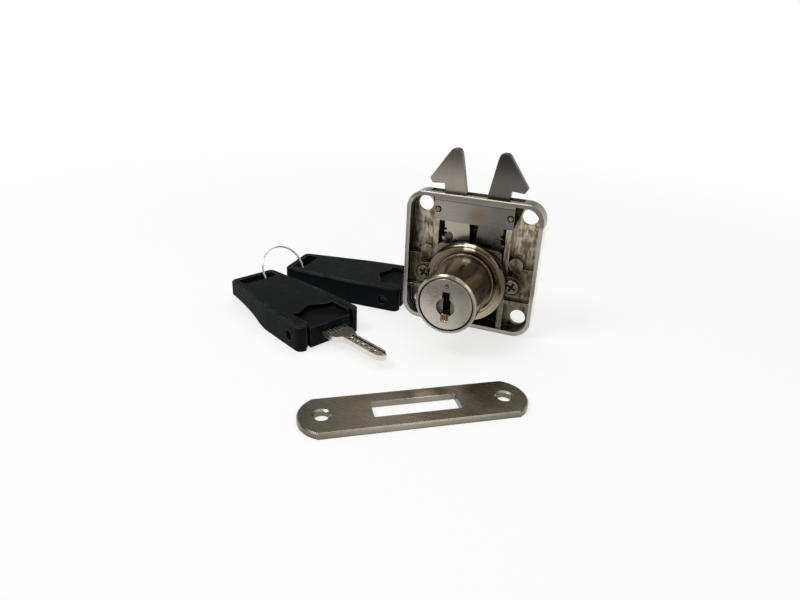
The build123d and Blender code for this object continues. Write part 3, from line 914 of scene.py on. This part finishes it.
def makeWard(ward):
    # A small block with a row of upright recesses sunk into its face.
    bm = bmesh.new()
    bmesh.ops.create_cube(bm, size=1.0)
    bmesh.ops.scale(bm, vec=ward["size"], verts=bm.verts)
    halfWidth = ward["size"].x / 2
    across = [
        edge for edge in bm.edges if abs((edge.verts[0].co - edge.verts[1].co).x) > halfWidth
    ]
    cuts = ward["recesses"] - 1
    bmesh.ops.subdivide_edges(bm, edges=across, cuts=cuts, use_grid_fill=True)
    bm.normal_update()
    fronts = [face for face in bm.faces if face.normal.y < ward["forward"]]
    bmesh.ops.inset_individual(bm, faces=fronts, thickness=ward["frame"], use_even_offset=True)
    floors = list({vert for face in fronts for vert in face.verts})
    bmesh.ops.translate(bm, verts=floors, vec=(0, ward["sink"], 0))
    sharp = [edge for edge in bm.edges if edge.calc_face_angle(0.0) > ward["sharpAngle"]]
    bmesh.ops.bevel(
        bm, geom=sharp, offset=ward["edge"], segments=2, profile=0.5, affect="EDGES", material=-1
    )
    bmesh.ops.translate(bm, verts=bm.verts, vec=ward["centre"])
    finishPiece(bm, "keyway_ward", wardMetal, "lock_plug")


makeSplitRing(splitRing)
makeWard(keywayWard)
print("detail pieces made")

# Floor with a low wall round it, lamps and world
studio = {
    "floorRadius": 1.5,
    "floorSides": 96,
    "wallHeight": 0.5,
    "paper": (0.93, 0.93, 0.93),
    "paperRoughness": 0.9,
    "paperShine": 0.1,
    "paperFrom": 0.10,
    "paperTo": 0.32,
    "nearWhite": 0.68,
    "worldDiffuse": 0.50,
    "worldLow": (0.115, 0.098, 0.082),
    "worldHigh": (1.0, 0.98, 0.95),
    "worldFrom": 0.50,
    "worldTo": 0.92,
    # Each lamp's name, place, size and power
    "lamps": (
        ("keyLamp", (-0.30, -0.30, 0.55), 0.28, 1.7),
        ("fillLamp", (0.45, -0.35, 0.35), 0.30, 0.5),
        ("topLamp", (0.0, 0.15, 0.70), 0.50, 0.9),
    ),
    "aim": (0.0, -0.01, 0.015),
}


def makePaper(settings):
    # White beyond the shadows for what the camera and the metal see, lit paper under them.
    material, tree, shader, place = newMaterial("studioPaper")
    shader.inputs["Base Color"].default_value = (*settings["paper"], 1.0)
    shader.inputs["Roughness"].default_value = settings["paperRoughness"]
    shader.inputs["Specular IOR Level"].default_value = settings["paperShine"]
    length = addNode(tree, "ShaderNodeVectorMath", {0: place}, operation="LENGTH")
    amount = remap(
        tree,
        length.outputs["Value"],
        settings["paperFrom"],
        settings["paperTo"],
        settings["nearWhite"],
        1.0,
    )
    path = addNode(tree, "ShaderNodeLightPath").outputs
    seen = calculate(tree, "MAXIMUM", path["Is Glossy Ray"], path["Is Transmission Ray"])
    seen = calculate(tree, "MAXIMUM", seen, path["Is Camera Ray"])
    amount = calculate(tree, "MULTIPLY", amount, seen)
    white = addNode(tree, "ShaderNodeEmission", {"Color": (1.0, 1.0, 1.0, 1.0)})
    blend = addNode(
        tree, "ShaderNodeMixShader", {0: amount, 1: shader.outputs[0], 2: white.outputs[0]}
    )
    output = next(node for node in tree.nodes if node.type == "OUTPUT_MATERIAL")
    tree.links.new(blend.outputs[0], output.inputs["Surface"])
    return material


def makeFloor(settings):
    bm = bmesh.new()
    radius = settings["floorRadius"]
    bmesh.ops.create_circle(bm, cap_ends=True, radius=radius, segments=settings["floorSides"])
    rim = [edge for edge in bm.edges if edge.is_boundary]
    wall = bmesh.ops.extrude_edge_only(bm, edges=rim)["geom"]
    top = [item for item in wall if isinstance(item, bmesh.types.BMVert)]
    bmesh.ops.translate(bm, verts=top, vec=(0, 0, settings["wallHeight"]))
    mesh = bpy.data.meshes.new("floor")
    bm.to_mesh(mesh)
    bm.free()
    floor = bpy.data.objects.new("floor", mesh)
    bpy.context.scene.collection.objects.link(floor)
    mesh.materials.append(makePaper(settings))


def makeLamps(settings):
    aim = Vector(settings["aim"])
    for name, place, size, power in settings["lamps"]:
        data = bpy.data.lights.new(name, "AREA")
        data.shape = "DISK"
        data.size = size
        data.energy = power
        lamp = bpy.data.objects.new(name, data)
        bpy.context.scene.collection.objects.link(lamp)
        lamp.location = place
        lamp.rotation_euler = (aim - Vector(place)).to_track_quat("-Z", "Y").to_euler()


def makeWorld(settings):
    # Even light for matt surfaces; the metal sees a dim room with a bright ceiling.
    world = bpy.data.worlds.new("studio")
    bpy.context.scene.world = world
    world.use_nodes = True
    tree = world.node_tree
    tree.nodes.clear()
    direction = addNode(tree, "ShaderNodeTexCoord").outputs["Generated"]
    height = addNode(tree, "ShaderNodeSeparateXYZ", {0: direction}).outputs["Z"]
    shade = remap(tree, height, settings["worldFrom"], settings["worldTo"])
    room = mixColour(tree, shade, settings["worldLow"], settings["worldHigh"])
    path = addNode(tree, "ShaderNodeLightPath").outputs
    glossy = calculate(tree, "MAXIMUM", path["Is Glossy Ray"], path["Is Transmission Ray"])
    plain = (settings["worldDiffuse"],) * 3
    colour = mixColour(tree, glossy, plain, room)
    colour = mixColour(tree, path["Is Camera Ray"], colour, (1.0, 1.0, 1.0))
    background = addNode(tree, "ShaderNodeBackground", {"Color": colour})
    addNode(tree, "ShaderNodeOutputWorld", {"Surface": background.outputs[0]})


makeFloor(studio)
makeLamps(studio)
makeWorld(studio)
bpy.context.scene.view_settings.view_transform = "Standard"
print("studio made")
